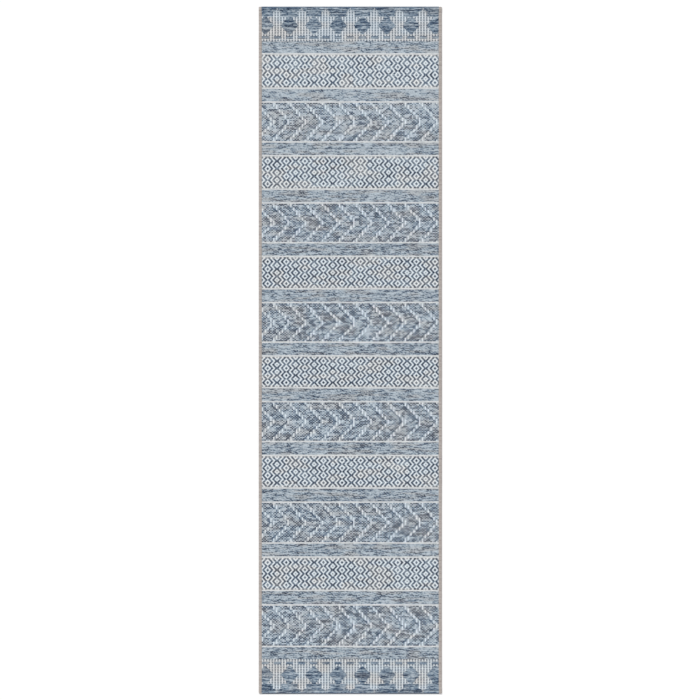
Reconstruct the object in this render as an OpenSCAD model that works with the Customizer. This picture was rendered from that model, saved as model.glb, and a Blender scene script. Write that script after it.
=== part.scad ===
// Runner rug: a thin flat-woven floor runner. A backing weave carries plain stripes, diamond bands,
// arrow bands and two end borders, with a cream pinstripe along every patterned band.
// The long edges are whipped with thick yarn, and each end is turned under and stitched.
//
// Millimetres. X is the width, +Y runs along the length to the far end, +Z is up.
// The origin is at the middle of the underside, on the floor.

/* [Rug] */
// Width over both serged edges
rug_w = 800; // [600:10:1200]
// Length over both hemmed ends
rug_l = 3000; // [2400:50:4000]

/* [Cloth] */
// Thickness of the backing weave
backing_t = 1.6; // [1.2:0.1:2.4]
// Height of the plain stripes above the backing
stripe_t = 1.3; // [0.6:0.1:1.8]
// Height of the patterned bands above the backing
pattern_t = 1.7; // [1.2:0.1:2.2]
// Height of the cream pinstripes above the backing
pinstripe_t = 1.9; // [1.2:0.1:2.4]

/* [Bands] */
// Length of each end border, hem included
border_l = 149; // [100:1:180]
// Length of the plain stripe beside each border
end_stripe_l = 56; // [40:0.5:80]
// Length of a diamond band, between the middles of its pinstripes
diamond_l = 144; // [100:0.5:180]
// Length of an arrow band, between the middles of its pinstripes
arrow_l = 176; // [120:0.5:220]
// Length of a plain stripe, between the middles of its pinstripes
stripe_l = 61; // [40:0.5:90]
// Width of a pinstripe, measured along the rug
pinstripe_w = 7; // [3:0.5:9]

/* [Hems] */
// Length of cloth turned under at each end
hem_l = 17; // [14:1:30]
// Air left inside the fold
fold_gap = 0.3; // [0.1:0.1:0.8]
// Length of the slope from the double cloth down to the single cloth
ramp_l = 12; // [8:1:30]
// Distance of the stitch line from the folded end
stitch_in = 13; // [10:0.5:13]
// Spacing of the hem stitches
stitch_pitch = 10; // [7:0.5:16]
// Length of one hem stitch
stitch_l = 6.5; // [3:0.5:6.5]
// Thickness of the hem thread
thread_d = 0.8; // [0.5:0.1:1]

/* [Serging] */
// Width of the whipped edge
serge_w = 12.5; // [9:0.5:16]
// Height of the whipped edge along the single cloth
serge_t = 4.8; // [4.2:0.1:5.6]
// Yarn outside the edge of the backing
wrap_t = 2.2; // [2:0.1:3]
// Yarn under the edge of the backing
under_t = 0.6; // [0.4:0.1:0.9]

/* [Hidden] */
// Length of each repeat against the mean one: the cloth is beaten up tighter near the middle
repeat_pull = [1.007, 0.995, 0.986, 0.984, 1.006, 1.026];
// Length of each diamond band against its share of the repeat
diamond_pull = [1.036, 1.018, 1, 0.98, 0.982, 0.988];
repeats = len(repeat_pull);
lines_per_repeat = 4;
stripes = 2 * repeats + 1;
pinstripes = lines_per_repeat * repeats;

// The fold of a hem, seen from the side: backing inside, face yarn outside
fold_inner_r = fold_gap / 2;
fold_backing_r = fold_inner_r + backing_t;
fold_r = fold_backing_r + pattern_t;
hem_t = 2 * fold_r;
fold_steps = 12;
ramp_steps = 10;
fold_y = fold_r - rug_l / 2;
hem_tip_y = hem_l - rug_l / 2;
ramp_y = hem_tip_y + 1;
body_face_z = backing_t + pattern_t;

// Widths of the face yarn and of the backing, which ends inside the serging
face_w = rug_w - 2 * serge_w;
backing_w = rug_w - 2 * wrap_t;

// The groove that the hem stitches pull into the cloth, with the thread lying in it
groove_w = 2 * thread_d;
groove_d = thread_d + 0.1;
stitch_y = stitch_in - rug_l / 2;
stitches = floor((face_w - 2 * stitch_l) / stitch_pitch);

// Distance past a surface that a cutting shape runs, so that the cut is clean
cut = 1;

function numbered(name, count) = [for (i = [1:count]) str(name, i)];

// ---- Where the bands lie, as distances from the far end ----

// Sum of the first k repeats' pulls
function pull_to(k) = k == 0 ? 0 : pull_to(k - 1) + repeat_pull[k - 1];

// The lines of one repeat as drawn, before it is pulled to length
repeat_l = diamond_l + arrow_l + 2 * stripe_l;
line_at = [0, diamond_l, diamond_l + stripe_l, diamond_l + stripe_l + arrow_l];

// Where line i of repeat k lies, as a share of that repeat
function diamond_share(k) = diamond_pull[k] * diamond_l / repeat_l;
function line_share(k, i) =
    i == 0 ? 0
    : diamond_share(k)
        + (1 - diamond_share(k)) * (line_at[i] - diamond_l) / (repeat_l - diamond_l);

// One mean unit of pull, in millimetres: the last repeat ends at its last line
repeated_l = rug_l - 2 * border_l - 2 * end_stripe_l;
last = repeats - 1;
pull_l = repeated_l / (pull_to(last) + repeat_pull[last] * line_share(last, 3));

// Middle of line i of repeat k, both counted from 0
function line_d(k, i) =
    border_l + end_stripe_l + pull_l * (pull_to(k) + repeat_pull[k] * line_share(k, i));

// Both ends of plain stripe n, counted from 1 at the far end
function stripe_from(n) =
    n == 1 ? border_l
    : n % 2 == 0 ? line_d(n / 2 - 1, 1) + pinstripe_w / 2
    : line_d((n - 3) / 2, 3) + pinstripe_w / 2;
function stripe_to(n) =
    n == stripes ? rug_l - border_l
    : n % 2 == 0 ? line_d(n / 2 - 1, 2) - pinstripe_w / 2
    : line_d((n - 1) / 2, 0) - pinstripe_w / 2;

// ---- The side view of the hems: y along the rug, z up ----

function reversed(points) = [for (i = [len(points) - 1:-1:0]) points[i]];
function far_side(points) = [for (p = points) [-p[0], p[1]]];

// A line of cloth at one distance from the fold's middle: in along the floor from the turned tip,
// round the fold, back over the hem, and down a smooth slope to its height in the single cloth
function hem_line(r, flat_z) = concat(
    [[hem_tip_y, fold_r - r]],
    [for (i = [0:fold_steps])
        let (a = 270 - 180 * i / fold_steps)
        [fold_y + r * cos(a), fold_r + r * sin(a)]],
    slope(fold_r + r, flat_z)
);

// A smooth slope from one height to another, over the edge of the turned cloth
function slope(high_z, low_z) = [
    for (i = [0:ramp_steps])
        let (u = i / ramp_steps)
        [ramp_y + ramp_l * u, high_z + (low_z - high_z) * (1 - cos(180 * u)) / 2]
];

// The same line from one end of the rug to the other
function full_line(r, flat_z) =
    concat(hem_line(r, flat_z), reversed(far_side(hem_line(r, flat_z))));

// Extrudes a side view across the rug's width
module across(width) {
    translate([-width / 2, 0, 0])
        rotate([90, 0, 90])
            linear_extrude(width)
                children();
}

// ---- The pieces ----

// Backing cloth, in one length with both turned ends
module backing_side() {
    polygon(concat(full_line(fold_backing_r, backing_t), reversed(full_line(fold_inner_r, 0))));
}

module backing_weave() {
    color([0.80, 0.81, 0.81])
        difference() {
            across(backing_w) backing_side();
            for (side = [-1, 1])
                serged_margin(side, under_t);
        }
}

// The strip along one long edge that the serging grips, from below the floor up to a height
module serged_margin(side, height) {
    middle_x = side * (rug_w - serge_w) / 2;
    translate([middle_x - serge_w / 2, -rug_l / 2, -cut])
        cube([serge_w, rug_l, height + cut]);
}

// Whipped edge: a bead of yarn, round outside, that wraps over and under the backing
module edge_serging(side) {
    color([0.69, 0.65, 0.61])
        difference() {
            intersection() {
                bead_across(side);
                across(rug_w) bead_side();
            }
            backing_weave();
        }
}

module bead_across(side) {
    edge_x = rug_w / 2;
    mirror([side < 0 ? 1 : 0, 0, 0])
        translate([0, rug_l / 2, 0])
            rotate([90, 0, 0])
                linear_extrude(rug_l) {
                    translate([edge_x - fold_r, fold_r])
                        circle(r = fold_r, $fn = 48);
                    translate([edge_x - serge_w, 0])
                        square([serge_w - fold_r, hem_t]);
                }
}

module bead_side() {
    near = concat([[-rug_l / 2, 0], [-rug_l / 2, hem_t]], slope(hem_t, serge_t));
    polygon(concat(near, reversed(far_side(near))));
}

// Face yarn of the near border, which follows the backing round the fold
module border_side() {
    inner_y = border_l - rug_l / 2;
    polygon(concat(
        hem_line(fold_r, body_face_z),
        [[inner_y, body_face_z], [inner_y, backing_t]],
        reversed(hem_line(fold_backing_r, backing_t))
    ));
}

module border_face() {
    color([0.58, 0.65, 0.71])
        difference() {
            across(face_w) border_side();
            for (z = [-cut, hem_t - groove_d])
                translate([-rug_w / 2, stitch_y - groove_w / 2, z])
                    cube([rug_w, groove_w, groove_d + cut]);
        }
}

// A hem's lock stitches: one row of thread on top, one row underneath
module hem_stitches() {
    first_x = -stitch_pitch * (stitches - 1) / 2;
    thread_r = thread_d / 2;
    color([0.45, 0.50, 0.56])
        for (i = [0:stitches - 1])
            for (z = [groove_d - thread_r, hem_t - groove_d + thread_r])
                translate([first_x + i * stitch_pitch - stitch_l / 2, stitch_y, z])
                    rotate([0, 90, 0])
                        cylinder(r = thread_r, h = stitch_l, $fn = 16);
}

// Face yarn of one straight band between two distances from the far end
module band(from_d, to_d, height) {
    translate([-face_w / 2, rug_l / 2 - to_d, backing_t])
        cube([face_w, to_d - from_d, height]);
}

module diamond_face(k) {
    color([0.67, 0.71, 0.74])
        band(line_d(k, 0) + pinstripe_w / 2, line_d(k, 1) - pinstripe_w / 2, pattern_t);
}

module arrow_face(k) {
    color([0.61, 0.65, 0.67])
        band(line_d(k, 2) + pinstripe_w / 2, line_d(k, 3) - pinstripe_w / 2, pattern_t);
}

module stripe_face(n) {
    color([0.60, 0.65, 0.69])
        band(stripe_from(n), stripe_to(n), stripe_t);
}

module pinstripe(j) {
    middle_d = line_d(floor((j - 1) / lines_per_repeat), (j - 1) % lines_per_repeat);
    color([0.86, 0.87, 0.87])
        band(middle_d - pinstripe_w / 2, middle_d + pinstripe_w / 2, pinstripe_t);
}

backing_weave();
edge_serging(-1);  // left_edge_serging
edge_serging(1);  // right_edge_serging
border_face();  // near_border_face
mirror([0, 1, 0]) border_face();  // far_border_face
hem_stitches();  // near_hem_stitches
mirror([0, 1, 0]) hem_stitches();  // far_hem_stitches
for (k = [1:repeats])
    diamond_face(k - 1);
for (k = [1:repeats])
    arrow_face(k - 1);
for (n = [1:stripes])
    stripe_face(n);
for (j = [1:pinstripes])
    pinstripe(j);
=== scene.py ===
# %% [markdown]
# # A flat-woven runner rug
#
# The object is a thin floor runner. Its cloth is woven flat, with no pile, and the pattern comes only
# from which yarn lies on top at each crossing. The part's frame gives the place and size of every
# band. This script weaves the visible cloth over that frame, whips its long edges, sews its hems,
# and gives each yarn its colour and fibre.
#
# Lengths in the weave's own drawing are in millimetres, because a weaver counts in dents and picks of
# about three millimetres. They become metres where a mesh is placed.

import math

import bmesh
import bpy
import numpy as np
from mathutils import Matrix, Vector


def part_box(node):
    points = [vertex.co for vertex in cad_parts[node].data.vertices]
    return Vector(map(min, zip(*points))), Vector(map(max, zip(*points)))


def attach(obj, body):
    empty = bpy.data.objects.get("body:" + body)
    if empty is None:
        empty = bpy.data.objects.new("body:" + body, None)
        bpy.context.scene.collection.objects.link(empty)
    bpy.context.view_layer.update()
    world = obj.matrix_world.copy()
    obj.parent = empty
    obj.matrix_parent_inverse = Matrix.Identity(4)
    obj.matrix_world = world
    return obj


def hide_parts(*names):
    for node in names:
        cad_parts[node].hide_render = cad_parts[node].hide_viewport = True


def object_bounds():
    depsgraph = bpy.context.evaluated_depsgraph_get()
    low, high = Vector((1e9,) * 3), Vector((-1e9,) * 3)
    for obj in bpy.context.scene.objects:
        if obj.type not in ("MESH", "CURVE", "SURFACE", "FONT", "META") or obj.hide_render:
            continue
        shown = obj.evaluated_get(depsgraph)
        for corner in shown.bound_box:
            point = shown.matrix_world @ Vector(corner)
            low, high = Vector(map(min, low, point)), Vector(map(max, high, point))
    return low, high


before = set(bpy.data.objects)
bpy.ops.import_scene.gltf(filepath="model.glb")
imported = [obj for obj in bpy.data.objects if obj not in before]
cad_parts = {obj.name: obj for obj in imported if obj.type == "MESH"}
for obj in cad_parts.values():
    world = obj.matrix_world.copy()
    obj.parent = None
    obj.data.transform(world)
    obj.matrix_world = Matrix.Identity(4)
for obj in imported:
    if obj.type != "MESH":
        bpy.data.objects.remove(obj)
cad_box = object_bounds()
MM = 0.001
print("the frame has", len(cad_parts), "nodes")

# %% Main sizes, read from the frame
rug_low, rug_high = cad_box
rug_w = rug_high.x - rug_low.x
rug_l = rug_high.y - rug_low.y
first_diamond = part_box("diamond_face_1")
near_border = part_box("near_border_face")
face_w = first_diamond[1].x - first_diamond[0].x
backing_t = first_diamond[0].z
pattern_t = first_diamond[1].z - backing_t
hem_t = near_border[1].z
print(f"rug {rug_w:.3f} x {rug_l:.3f} m, face {face_w:.3f} m wide, hem {hem_t / MM:.1f} mm thick")

# %% [markdown]
# ## Camera, floor and light
#
# A rug is best seen from straight above. A long lens, high up, shows the outline without distortion.
# The floor is plain and pale. One broad sun from the far left gives the ribs of the weave a soft
# shadow, and an even white sky fills the rest, as a big diffuser does in a studio.

# %% Camera
FRAME_FILL = 0.980  # share of the view's height that the rug's length fills
OFF_CENTRE_X = -1.2 * MM
OFF_CENTRE_Y = 0.9 * MM
LENS, SENSOR = 85, 36  # mm: a long lens on a full-size sensor
FAR_LIMIT = 100  # metres that the camera sees
camera_data = bpy.data.cameras.new("camera")
camera_data.lens = LENS
camera_data.sensor_width = SENSOR
camera = bpy.data.objects.new("camera", camera_data)
bpy.context.scene.collection.objects.link(camera)
camera_high = rug_l / FRAME_FILL * LENS / SENSOR
camera.location = (OFF_CENTRE_X, OFF_CENTRE_Y, camera_high)
camera_data.clip_end = FAR_LIMIT
bpy.context.scene.camera = camera
print(f"the camera is {camera.location.z:.2f} m above the floor")


# %% Colours are written as they look on a screen
def screen_colour(red, green, blue):
    """A colour on the 0 to 255 scale of a screen, as the linear values that Blender works in."""
    linear = []
    for value in (red, green, blue):
        v = value / 255
        linear.append(v / 12.92 if v <= 0.04045 else ((v + 0.055) / 1.055) ** 2.4)
    return (*linear, 1.0)


# %% Floor
WHITE = (255, 255, 255)
FLOOR_HALF = 20  # metres from the middle of the floor to its edge
FLOOR_DROP = 0.4 * MM  # room for the yarn on the underside of the hems
FLOOR_ROUGHNESS = 0.9
bpy.context.scene.view_settings.view_transform = "Standard"
floor_bm = bmesh.new()
bmesh.ops.create_grid(floor_bm, x_segments=1, y_segments=1, size=FLOOR_HALF)
bmesh.ops.translate(floor_bm, verts=floor_bm.verts, vec=(0, 0, -FLOOR_DROP))
floor_mesh = bpy.data.meshes.new("floor")
floor_bm.to_mesh(floor_mesh)
floor_bm.free()
floor = bpy.data.objects.new("floor", floor_mesh)
bpy.context.scene.collection.objects.link(floor)
floor_paint = bpy.data.materials.new("floor_paint")
floor_paint.use_nodes = True
floor_shader = floor_paint.node_tree.nodes["Principled BSDF"]
floor_shader.inputs["Base Color"].default_value = screen_colour(*WHITE)
floor_shader.inputs["Roughness"].default_value = FLOOR_ROUGHNESS
floor_mesh.materials.append(floor_paint)

# %% Sky and sun
SKY_STRENGTH = 0.60
SUN_STRENGTH = 2.0
SUN_WIDTH = math.radians(16)  # a broad sun, for soft shadows
SUN_TILT = (math.radians(-38), math.radians(-28), 0)
world = bpy.data.worlds.new("sky")
world.use_nodes = True
background = world.node_tree.nodes["Background"]
background.inputs["Color"].default_value = screen_colour(*WHITE)
background.inputs["Strength"].default_value = SKY_STRENGTH
bpy.context.scene.world = world

sun_data = bpy.data.lights.new("sun", "SUN")
sun_data.energy = SUN_STRENGTH
sun_data.angle = SUN_WIDTH
sun = bpy.data.objects.new("sun", sun_data)
sun.rotation_euler = SUN_TILT
bpy.context.scene.collection.objects.link(sun)

# %% [markdown]
# ## How the cloth is drawn
#
# Machine-woven cloth is a grid. Across the rug the warp ends stand in dents, and along it each pick of
# weft is one row. One crossing of a dent and a pick is a stitch. For every stitch the drawing says
# three things: how far along the space-dyed yarn it falls (`dye`, 0 is navy and 1 the palest grey
# blue), how much cream yarn covers it (`cream`), and how far it leans to taupe (`warm`). Two more
# values shape it: whether the weft lies on top there or the warp does (`weft_up`), and how far the
# stitch rises or sinks, in mm (`lift`).
#
# This could be painted on a flat plane, but then the ribs would have no shadow. So the same drawing
# also shapes the mesh: each stitch is a small pillow.

# %% Random numbers that always come out the same
TABLE_A, TABLE_B = 97, 89  # size of the table of random numbers; both prime, so repeats don't line up


def soft_noise(a, b, seed):
    """Smooth random values from 0 to 1, one at each whole a and b, blended in between."""
    table = np.random.default_rng(seed).random((TABLE_A, TABLE_B))
    i, j = np.floor(a).astype(int), np.floor(b).astype(int)
    s, t = a - i, b - j
    s, t = s * s * (3 - 2 * s), t * t * (3 - 2 * t)
    i0, i1, j0, j1 = i % TABLE_A, (i + 1) % TABLE_A, j % TABLE_B, (j + 1) % TABLE_B
    near = table[i0, j0] * (1 - s) + table[i1, j0] * s
    far = table[i0, j1] * (1 - s) + table[i1, j1] * s
    return near * (1 - t) + far * t


def spread(mean, *parts):
    """A tone about a mean: each part is a share and random values from 0 to 1."""
    for share, values in parts:
        mean = mean + share * (values - 0.5)
    return mean


SPECK_L = 5.5  # mm of yarn in one speck of dye
DRIFT_PICKS = 2.6  # picks over which a drifting run blends into the next
DRIFT_SLANT = 0.23  # share of a run that it moves across from pick to pick


def dye_runs(x, pick, seed, run=58.0, own_run=24.0, speck=0.5, pooled=0.55, own=1.05):
    """Tone of space-dyed yarn: runs that drift from pick to pick, each pick's own, and specks.

    run and own_run are lengths in mm; pooled, own and speck are the strengths of the three.
    """
    row = np.floor(pick) + 0 * x
    drift = soft_noise(x / run + DRIFT_SLANT * pick, pick / DRIFT_PICKS, seed)
    runs = soft_noise(x / own_run, row, seed + 1)
    specks = soft_noise(x / SPECK_L, row, seed + 2)
    return spread(0.5, (pooled, drift), (own, runs), (speck, specks))


# %% The reed and the picks
DENTS = 248  # dents across the face
PICK_L = 3.27  # mm along the rug for each pick of the diamonds, the stripes and the backing
CELL_L = 5.5  # mm along the rug for each pair of picks in the arrow bands and the borders
dent_w = face_w / MM / DENTS
half_w = rug_w / MM / 2
print(f"a dent is {dent_w:.2f} mm wide")


def dent_at(x):
    """The dent at x, in mm from the rug's middle line, counted from its left edge."""
    return np.floor((x + half_w) / dent_w)


def patches(x, y, size, seed, start=0.0):
    """Soft patches of tone, size across and along; start moves them by that many patches."""
    return soft_noise(x / size[0] + start, y / size[1], seed)


WARM_GAIN = 2.0  # how fast a patch of yarn turns taupe, once it is past its starting tone


def blank_drawing(x, y):
    """A drawing with every value at its plain state, for stitches at x across and y along."""
    shape = np.broadcast(x, y).shape
    return {
        "dye": np.full(shape, 0.5),
        "cream": np.zeros(shape),
        "warm": np.zeros(shape),
        "weft_up": np.ones(shape, bool),
        "lift": np.zeros(shape),
    }


# %% [markdown]
# ### Plain stripes
#
# A plain stripe is only weft: pick after pick of space-dyed yarn, so it looks like wood grain. A warp
# end ties the floats down every few dents, in a staggered order, and shows as a small dip.

# %% Drawing of a plain stripe
STRIPE_PICKS = 17
STRIPE_DYE, STRIPE_SPREAD = 0.62, 1.15  # mean dye, and how far its runs spread
PICK_SPREAD = 0.24  # how much one whole pick may differ from the next
TIE_DENTS = 8  # dents between two ties
TIE_STEP = 3  # dents that the ties move from one pick to the next
TIE_DIP = 0.3  # mm that a float sinks under a tie
TIE_CREAM = 0.42  # how far the warp shows through beside a tie
STRIPE_PATCH = (70, 3)  # mm across and picks along
STRIPE_WARM_FROM, STRIPE_WARM = 0.52, 0.5  # where taupe starts, and the most that a patch leans to it


def draw_stripe(x, pick, seed):
    cloth = blank_drawing(x, pick)
    tone = dye_runs(x, pick, seed, run=46, own_run=18, speck=1.0, pooled=0.35, own=1.1)
    pick_tone = np.random.default_rng(seed + 7).random(pick.shape)
    cloth["dye"] = spread(STRIPE_DYE, (STRIPE_SPREAD, tone), (PICK_SPREAD, pick_tone))
    cloudy = patches(x, pick, STRIPE_PATCH, seed + 5)
    cloth["warm"] = np.clip(WARM_GAIN * (cloudy - STRIPE_WARM_FROM), 0, STRIPE_WARM)
    from_tie = (dent_at(x) + TIE_STEP * np.floor(pick)) % TIE_DENTS
    cloth["lift"] = np.where(from_tie < 1, -TIE_DIP, 0.0)
    cloth["cream"] = np.where(from_tie < 2, TIE_CREAM, 0.0)
    return cloth


# %% [markdown]
# ### Diamond bands
#
# Rings of diamonds stand round a row of dots, and where two sets of rings meet they cross in an X.
# All of it follows from one rule. Fold the width into half repeats, fold the length into a zigzag, and
# add the two: blue weft shows where the sum is near a whole number of line spacings.

# %% Drawing of a diamond band
DIAMOND_REPEAT = 26  # dents across one repeat
REPEAT_PICKS = 10  # picks along one repeat
DIAMOND_PICKS = 4 * REPEAT_PICKS + 2  # picks along the band
DIAMOND_DOTS = 39.0  # mm from the left edge to the first column of dots
LINE_GAP = 6  # dents from one diamond line to the next
LINE_SHIFT = 0.5  # dents that the whole set of lines is moved away from the dots
LINE_HALF = 1.25  # half the width of a line, in dents
LINE_RISE = 5  # dents that a line moves while the zigzag goes from 0 to 1
LINE_DYE, LINE_SPREAD = 0.18, 0.75
LINE_CREAM, FADE_FROM = 0.30, 0.62  # how fast, and from what tone, a line fades into cream
GROUND_DYE = 0.84
GROUND_CREAM, GROUND_SPREAD = 0.86, 0.34
DOT_HALF, DOT_FROM = 1.3, 0.75  # half a small dot's width in dents, and where the zigzag starts it
DOT_CREAM = 0.40
EDGE_PICKS = 4  # picks over which the band's two edges lean to taupe
EDGE_START, EDGE_MOST = 0.9, 0.7  # how far they would lean at the very edge, and the most they do
EDGE_FADE = 0.25  # how much paler the lines are at those edges
DIAMOND_PATCH = (60, 7)  # mm across and picks along
PATCH_START = 2.2
DIAMOND_WARM_FROM = 0.50
DIAMOND_WARM = (0.12, 0.5)  # the least and the most that the rest leans to taupe


def draw_diamonds(x, pick, seed):
    cloth = blank_drawing(x, pick)
    half_repeat = DIAMOND_REPEAT / 2
    across = (x + half_w - DIAMOND_DOTS) / dent_w
    from_dots = np.abs((across + half_repeat) % DIAMOND_REPEAT - half_repeat)
    zigzag = np.abs(2 * (((pick - 1) / REPEAT_PICKS) % 1.0) - 1)
    phase = (from_dots + LINE_RISE * zigzag - LINE_SHIFT) % LINE_GAP
    from_line = np.minimum(phase, LINE_GAP - phase)
    blue = from_line < LINE_HALF
    runs = dye_runs(x, pick, seed, run=90, own_run=20)
    cloudy = patches(x, pick, DIAMOND_PATCH, seed + 6, PATCH_START)
    from_edge = np.minimum(pick, DIAMOND_PICKS - pick)
    edge = np.clip(EDGE_START - from_edge / EDGE_PICKS, 0, EDGE_MOST) + 0 * x
    line_dye = spread(LINE_DYE, (LINE_SPREAD, runs)) + EDGE_FADE * edge
    cloth["dye"] = np.where(blue, line_dye, GROUND_DYE)
    faded = LINE_CREAM * np.clip(cloudy - FADE_FROM, 0, 1)
    cream = np.where(blue, faded, spread(GROUND_CREAM, (GROUND_SPREAD, runs)))
    small_dot = (from_dots > half_repeat - DOT_HALF) & (zigzag > DOT_FROM)
    cloth["cream"] = np.where(small_dot, DOT_CREAM, cream)
    warm = np.clip(WARM_GAIN * (cloudy - DIAMOND_WARM_FROM), *DIAMOND_WARM)
    cloth["warm"] = np.maximum(edge, warm)
    cloth["weft_up"] = blue
    return cloth


# %% [markdown]
# ### Arrow bands
#
# The ground is a coarse plain weave in cells two dents wide and two picks long: cells of dark weft
# take turns with cells of pale warp, in heathered navy, grey and taupe. Pale arrows lie on it, all
# pointing to the right. Inside an arrow every second pair of warp ends stands up white, so each stroke
# is a stair of short white dashes. It has a dark shadow inside and a short nub at its tip.

# %% Drawing of an arrow band
ARROW_ROWS = 31  # rows of cells in the band
ARROW_REPEAT = 71.9  # mm from one arrow to the next
ARROW_START = 62.0  # mm from the left edge to the first arrow's back, at the band's edges
ARROW_REACH = 73.0  # mm from an arrow's back to its tip
ARROW_HALF = 83.0  # mm from the tip's line to the band's edge
STROKE_HALF = 7.6  # half the width of a stroke, in mm
SHADOW_W = 6.4  # mm of dark shadow inside the stroke
TWEED_OWN, TWEED_PAIR = 0.4, 0.6  # how much tone is a cell's own, and how much it shares with a pair
DARK_DYE, DARK_RUNS, DARK_TWEED = 0.27, 1.05, 0.60  # mean dye of weft cells, and its spreads
PALE_DYE, PALE_RUNS, PALE_TWEED = 0.75, 0.90, 0.70  # the same for warp cells
SHADOW_DYE, SHADOW_RUNS, SHADOW_WARP = 0.22, 0.5, 0.24  # SHADOW_WARP is what a warp cell adds
EDGE_DARK = 0.2  # how much darker the band's first and last rows are
WHITE_DYE = 0.9
WHITE_CREAM, WHITE_TWEED = 0.76, 0.9
WHITE_STEP = 0.12  # how much less cream every second dash has
BETWEEN_DYE, BETWEEN_RUNS, BETWEEN_CREAM = 0.58, 0.5, 0.22  # the cells between the white dashes
WARP_CREAM = 0.18  # cream in the warp cells of the ground
ARROW_PATCH = (55, 4)  # mm across and rows along
WEFT_WARM, WARP_WARM, MOST_WARM = 0.08, 0.28, 0.6


def draw_arrows(x, row, seed):
    """x at the middle of each cell, row counted in cells from the far side."""
    cloth = blank_drawing(x, row)
    cell_x = np.floor((x + half_w) / (2 * dent_w))  # a cell is two dents wide
    cell_y = np.floor(row)
    from_tip_line = np.abs((cell_y + 0.5 - ARROW_ROWS / 2) * CELL_L)
    stroke_x = ARROW_START - half_w + ARROW_REACH * (1 - from_tip_line / ARROW_HALF)
    aside = (x - stroke_x + ARROW_REPEAT / 2) % ARROW_REPEAT - ARROW_REPEAT / 2
    stroke = np.abs(aside) < STROKE_HALF
    nub = (from_tip_line < CELL_L) & (aside >= STROKE_HALF) & (aside < STROKE_HALF + SHADOW_W)
    shadow = (aside <= -STROKE_HALF) & (aside > -STROKE_HALF - SHADOW_W)
    weft_cell = (cell_x + cell_y) % 2 == 0
    white_warp = cell_x % 2 == 0
    pair = np.floor((cell_x + cell_y % 2) / 2)
    tweed = TWEED_OWN * soft_noise(cell_x, cell_y, seed)
    tweed = tweed + TWEED_PAIR * soft_noise(pair, cell_y, seed + 1)
    cloudy = patches(x, row, ARROW_PATCH, seed + 4)
    runs = dye_runs(x, row, seed + 2, run=40, own_run=11, speck=0.5, pooled=0.25, own=1.35)
    dark = spread(DARK_DYE, (DARK_RUNS, runs), (DARK_TWEED, tweed))
    pale = spread(PALE_DYE, (PALE_TWEED, tweed), (PALE_RUNS, runs))
    shaded = spread(SHADOW_DYE, (SHADOW_RUNS, runs)) + np.where(weft_cell, 0.0, SHADOW_WARP)
    edge_row = (cell_y < 1) | (cell_y >= ARROW_ROWS - 1)
    ground = np.where(shadow, shaded, np.where(weft_cell, dark, pale))
    ground = ground - np.where(edge_row, EDGE_DARK, 0.0)
    lit = stroke | nub
    lit_dye = np.where(white_warp, WHITE_DYE, spread(BETWEEN_DYE, (BETWEEN_RUNS, runs)))
    cloth["dye"] = np.where(lit, lit_dye, ground)
    white = np.clip(spread(WHITE_CREAM - WHITE_STEP * (cell_y % 2), (WHITE_TWEED, tweed)), 0, 1)
    ground_cream = np.where(~weft_cell & ~shadow, WARP_CREAM, 0.0)
    cloth["cream"] = np.where(lit, np.where(white_warp, white, BETWEEN_CREAM), ground_cream)
    warm = spread(np.where(weft_cell, WEFT_WARM, WARP_WARM), (1.0, cloudy))
    cloth["warm"] = np.clip(warm, 0, MOST_WARM)
    cloth["weft_up"] = np.where(lit, ~white_warp, weft_cell)
    return cloth


# %% [markdown]
# ### End borders
#
# A row of cream columns stands on the blue ground, each with a narrow tip towards the rug's end. They
# widen into cream with blue lozenges between them, and a row of short dark dashes closes the border.
# In the cream, pairs of warp ends stand up as white lines with dark specks of weft between them.

# %% Drawing of an end border
BORDER_REPEAT = 106.25  # mm from one column to the next, with one on the rug's middle line
LOZENGE = [(43, 9.6), (47, 10.5), (79, 37.0), (84, 36.0), (120, 3.4)]  # mm from the end, half width
DASH_REPEAT = BORDER_REPEAT / 2
DASH_HALF = 15.6
HALF_WIDTHS = {"tip": 3.5, "shoulder": 10, "column": 18.5}  # mm of cream, below the field
FOLD_D, TIP_D, SHOULDER_D, COLUMN_D = 5, 13, 21, 43  # mm from the end to where each part stops
FIELD_D, DASH_D = 126, 139
DASH_MIDDLE = (131, 135)  # mm from the end: a paler line along the middle of each dash
BLUE_DYE, BLUE_SPREAD = 0.40, 0.85
# painted shade: the cloth round the fold, within FOLD_D of the end, is made a darker blue
FOLD_SHADE_DYE, FOLD_SPREAD = 0.26, 0.3
DASH_DYE, DASH_MIDDLE_DYE, DASH_SPREAD = 0.24, 0.55, 0.4
GAP_DYE, GAP_SPREAD, SPECK_DYE = 0.58, 0.5, 0.36  # the weft between the white lines
LINE_WHITE, WHITE_SPREAD, END_DIM = 0.80, 0.5, 0.3  # END_DIM is taken off near the rug's end
GAP_CREAM, GAP_CREAM_SPREAD = 0.42, 0.4
BORDER_PATCH = (60, 26)  # mm across and along
CREAM_WARM, BORDER_WARM = 0.35, 0.7


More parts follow.
